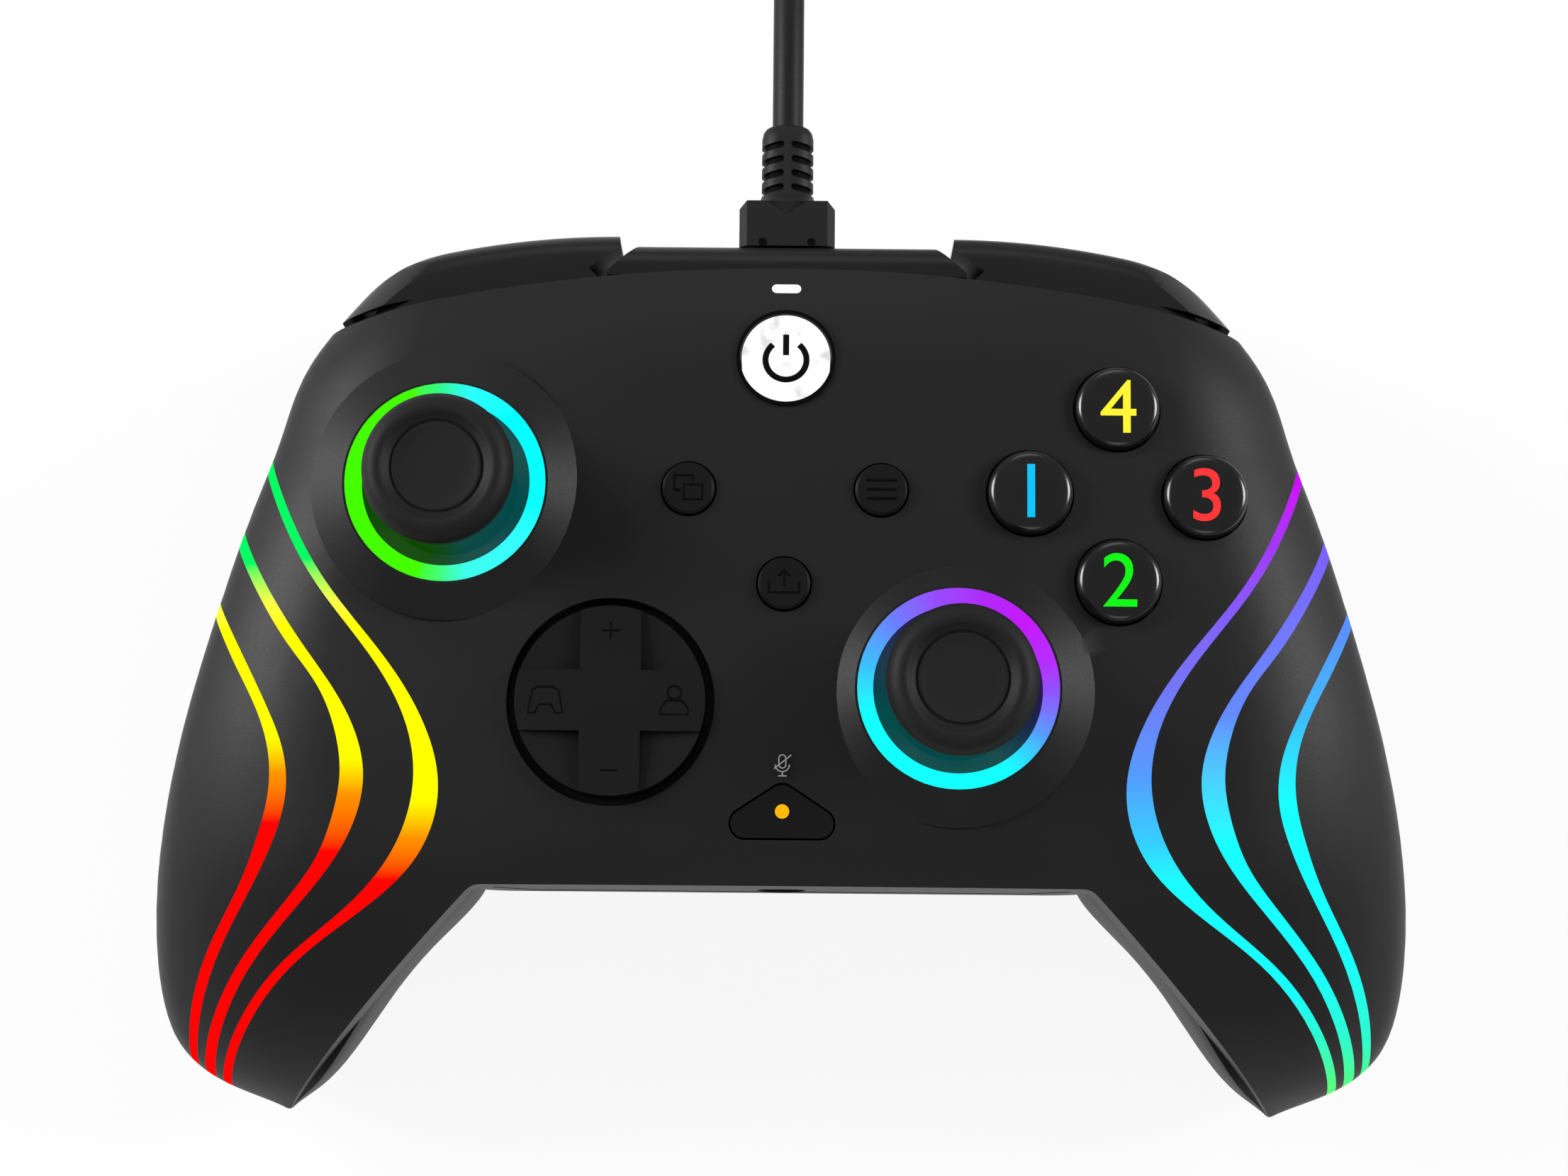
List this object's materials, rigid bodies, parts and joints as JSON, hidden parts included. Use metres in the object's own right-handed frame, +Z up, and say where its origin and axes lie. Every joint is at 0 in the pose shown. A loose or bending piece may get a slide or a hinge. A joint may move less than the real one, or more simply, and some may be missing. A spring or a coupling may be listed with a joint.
{
  "type": "gamepad",
  "caption": "Wired gamepad with two tilting thumb sticks, a rocking direction pad, face buttons, bumpers, triggers, light lines and a coiled cable.",
  "frame": {"origin": "middle of the controller's footprint on the table, without its cable, with the controller lying face up", "axes": "+X to the player's right, +Y towards the cable, +Z up out of the face"},
  "size_m": [0.1756, 0.2712, 0.058],
  "materials": {
    "shell_black": "satin black moulded shell",
    "bumper_black": "satin black",
    "stick_rubber": "matt rubber",
    "dpad_black": "satin black",
    "button_black": "gloss black",
    "light_diffuser": "lit translucent diffuser",
    "home_white": "lit white lens",
    "amber_light": "lit amber lens",
    "mechanism_plastic": "natural acetal",
    "housing_plastic": "black nylon",
    "pin_steel": "bright steel",
    "socket_steel": "plated steel",
    "board_green": "green laminate",
    "pad_silicone": "grey silicone",
    "cord_black": "matt black jacket",
    "plug_black": "matt black overmould"
  },
  "bodies": {
    "case": {"audio_jack": "housing_plastic", "cable_coil": "cord_black", "cable_connector": "plug_black", "cable_run": "cord_black", "cable_tail": "cord_black", "case_screws": "pin_steel", "dpad_post": "housing_plastic", "face_button_pad": "pad_silicone", "front_shell": "shell_black", "home_bezel": "button_black", "left_inner_light_line": "light_diffuser", "left_light_ring": "light_diffuser", "left_middle_light_line": "light_diffuser", "left_outer_light_line": "light_diffuser", "left_rumble_motor": "pin_steel", "left_stick_housing": "housing_plastic", "main_board": "board_green", "plug_body": "plug_black", "plug_shell": "socket_steel", "rear_shell": "shell_black", "right_inner_light_line": "light_diffuser", "right_light_ring": "light_diffuser", "right_middle_light_line": "light_diffuser", "right_outer_light_line": "light_diffuser", "right_rumble_motor": "pin_steel", "right_stick_housing": "housing_plastic", "status_light": "light_diffuser", "strain_relief": "plug_black", "top_bridge": "bumper_black", "trigger_pins": "pin_steel", "usb_socket": "socket_steel"},
    "left_stick_gimbal": {"left_stick_yoke": "mechanism_plastic"},
    "left_stick_pivot": {"left_stick_hub": "mechanism_plastic"},
    "left_stick": {"left_stick_cap": "stick_rubber", "left_stick_shaft": "mechanism_plastic"},
    "left_stick_slider": {"left_stick_bail": "mechanism_plastic"},
    "right_stick_gimbal": {"right_stick_yoke": "mechanism_plastic"},
    "right_stick_pivot": {"right_stick_hub": "mechanism_plastic"},
    "right_stick": {"right_stick_cap": "stick_rubber", "right_stick_shaft": "mechanism_plastic"},
    "right_stick_slider": {"right_stick_bail": "mechanism_plastic"},
    "dpad_cross_pin": {"dpad_pivot": "mechanism_plastic"},
    "dpad": {"dpad_disc": "dpad_black"},
    "top_button_body": {"top_face_button": "button_black"},
    "right_button_body": {"right_face_button": "button_black"},
    "left_button_body": {"left_face_button": "button_black"},
    "bottom_button_body": {"bottom_face_button": "button_black"},
    "menu_button_body": {"menu_button": "button_black"},
    "view_button_body": {"view_button": "button_black"},
    "capture_button_body": {"capture_button": "button_black"},
    "home_button_body": {"home_button": "home_white"},
    "audio_button_body": {"audio_button": "shell_black", "audio_light": "amber_light"},
    "left_bumper_body": {"left_bumper": "bumper_black"},
    "left_trigger_body": {"left_trigger": "bumper_black"},
    "left_rumble_rotor": {"left_rumble_weight": "pin_steel"},
    "right_bumper_body": {"right_bumper": "bumper_black"},
    "right_trigger_body": {"right_trigger": "bumper_black"},
    "right_rumble_rotor": {"right_rumble_weight": "pin_steel"}
  },
  "joints": [
    {"name": "left_stick_forward", "type": "hinge", "parent": "case", "child": "left_stick_gimbal", "pos_m": [-0.04092, 0.02078, 0.0365], "axis": [1, 0, 0], "range_deg": [-16, 16], "stiffness_Nm_per_rad": 0.05},
    {"name": "left_stick_sideways", "type": "hinge", "parent": "left_stick_gimbal", "child": "left_stick_pivot", "pos_m": [-0.04092, 0.02078, 0.0365], "axis": [0, 1, 0], "range_deg": [-16, 16], "stiffness_Nm_per_rad": 0.05},
    {"name": "left_stick_click", "type": "slide", "parent": "left_stick_pivot", "child": "left_stick", "axis": [0, 0, 1], "range_m": [-0.0005, 0], "stiffness_N_per_m": 4000, "springref_m": 0.0005},
    {"name": "left_stick_slider_turn", "type": "hinge", "parent": "case", "child": "left_stick_slider", "pos_m": [-0.04092, 0.02078, 0.0365], "axis": [0, 1, 0], "range_deg": [-16, 16]},
    {"name": "right_stick_forward", "type": "hinge", "parent": "case", "child": "right_stick_gimbal", "pos_m": [0.02093, -0.0037, 0.0365], "axis": [1, 0, 0], "range_deg": [-16, 16], "stiffness_Nm_per_rad": 0.05},
    {"name": "right_stick_sideways", "type": "hinge", "parent": "right_stick_gimbal", "child": "right_stick_pivot", "pos_m": [0.02093, -0.0037, 0.0365], "axis": [0, 1, 0], "range_deg": [-16, 16], "stiffness_Nm_per_rad": 0.05},
    {"name": "right_stick_click", "type": "slide", "parent": "right_stick_pivot", "child": "right_stick", "axis": [0, 0, 1], "range_m": [-0.0005, 0], "stiffness_N_per_m": 4000, "springref_m": 0.0005},
    {"name": "right_stick_slider_turn", "type": "hinge", "parent": "case", "child": "right_stick_slider", "pos_m": [0.02093, -0.0037, 0.0365], "axis": [0, 1, 0], "range_deg": [-16, 16]},
    {"name": "dpad_forward", "type": "hinge", "parent": "case", "child": "dpad_cross_pin", "pos_m": [-0.0207, -0.00543, 0.036], "axis": [1, 0, 0], "range_deg": [-3, 3], "stiffness_Nm_per_rad": 0.5},
    {"name": "dpad_sideways", "type": "hinge", "parent": "dpad_cross_pin", "child": "dpad", "pos_m": [-0.0207, -0.00543, 0.036], "axis": [0, 1, 0], "range_deg": [-3, 3], "stiffness_Nm_per_rad": 0.5},
    {"name": "top_face_button_press", "type": "slide", "parent": "case", "child": "top_button_body", "axis": [0, 0, 1], "range_m": [-0.0015, 0], "stiffness_N_per_m": 600, "springref_m": 0.001},
    {"name": "right_face_button_press", "type": "slide", "parent": "case", "child": "right_button_body", "axis": [0, 0, 1], "range_m": [-0.0015, 0], "stiffness_N_per_m": 600, "springref_m": 0.001},
    {"name": "left_face_button_press", "type": "slide", "parent": "case", "child": "left_button_body", "axis": [0, 0, 1], "range_m": [-0.0015, 0], "stiffness_N_per_m": 600, "springref_m": 0.001},
    {"name": "bottom_face_button_press", "type": "slide", "parent": "case", "child": "bottom_button_body", "axis": [0, 0, 1], "range_m": [-0.0015, 0], "stiffness_N_per_m": 600, "springref_m": 0.001},
    {"name": "menu_button_press", "type": "slide", "parent": "case", "child": "menu_button_body", "axis": [0, 0, 1], "range_m": [-0.0008, 0], "stiffness_N_per_m": 1200, "springref_m": 0.0005},
    {"name": "view_button_press", "type": "slide", "parent": "case", "child": "view_button_body", "axis": [0, 0, 1], "range_m": [-0.0008, 0], "stiffness_N_per_m": 1200, "springref_m": 0.0005},
    {"name": "capture_button_press", "type": "slide", "parent": "case", "child": "capture_button_body", "axis": [0, 0, 1], "range_m": [-0.0008, 0], "stiffness_N_per_m": 1200, "springref_m": 0.0005},
    {"name": "home_button_press", "type": "slide", "parent": "case", "child": "home_button_body", "axis": [0, 0.0872, 0.9962], "range_m": [-0.0006, 0], "stiffness_N_per_m": 1500, "springref_m": 0.0004},
    {"name": "audio_button_press", "type": "slide", "parent": "case", "child": "audio_button_body", "axis": [0, 0, 1], "range_m": [-0.0008, 0], "stiffness_N_per_m": 1200, "springref_m": 0.0005},
    {"name": "left_bumper_press", "type": "hinge", "parent": "case", "child": "left_bumper_body", "pos_m": [-0.021, 0.0462, 0.031], "axis": [0, 0, 1], "range_deg": [0, 1.6], "stiffness_Nm_per_rad": 1, "springref_deg": -1.72},
    {"name": "left_trigger_pull", "type": "hinge", "parent": "case", "child": "left_trigger_body", "pos_m": [-0.037, 0.0416, 0.0298], "axis": [1, 0, 0], "range_deg": [-16, 0], "stiffness_Nm_per_rad": 0.1, "springref_deg": 11.46},
    {"name": "left_rumble_spin", "type": "hinge", "parent": "case", "child": "left_rumble_rotor", "pos_m": [-0.063, -0.026, 0.015], "axis": [0, 1, 0], "continuous": true},
    {"name": "right_bumper_press", "type": "hinge", "parent": "case", "child": "right_bumper_body", "pos_m": [0.021, 0.0462, 0.031], "axis": [0, 0, 1], "range_deg": [-1.6, 0], "stiffness_Nm_per_rad": 1, "springref_deg": 1.72},
    {"name": "right_trigger_pull", "type": "hinge", "parent": "case", "child": "right_trigger_body", "pos_m": [0.037, 0.0416, 0.0298], "axis": [1, 0, 0], "range_deg": [-16, 0], "stiffness_Nm_per_rad": 0.1, "springref_deg": 11.46},
    {"name": "right_rumble_spin", "type": "hinge", "parent": "case", "child": "right_rumble_rotor", "pos_m": [0.063, -0.026, 0.015], "axis": [0, 1, 0], "continuous": true}
  ],
  "couplings": [
    {"joint": "left_stick_slider_turn", "follows": "left_stick_sideways", "ratio": 1},
    {"joint": "right_stick_slider_turn", "follows": "right_stick_sideways", "ratio": 1}
  ]
}
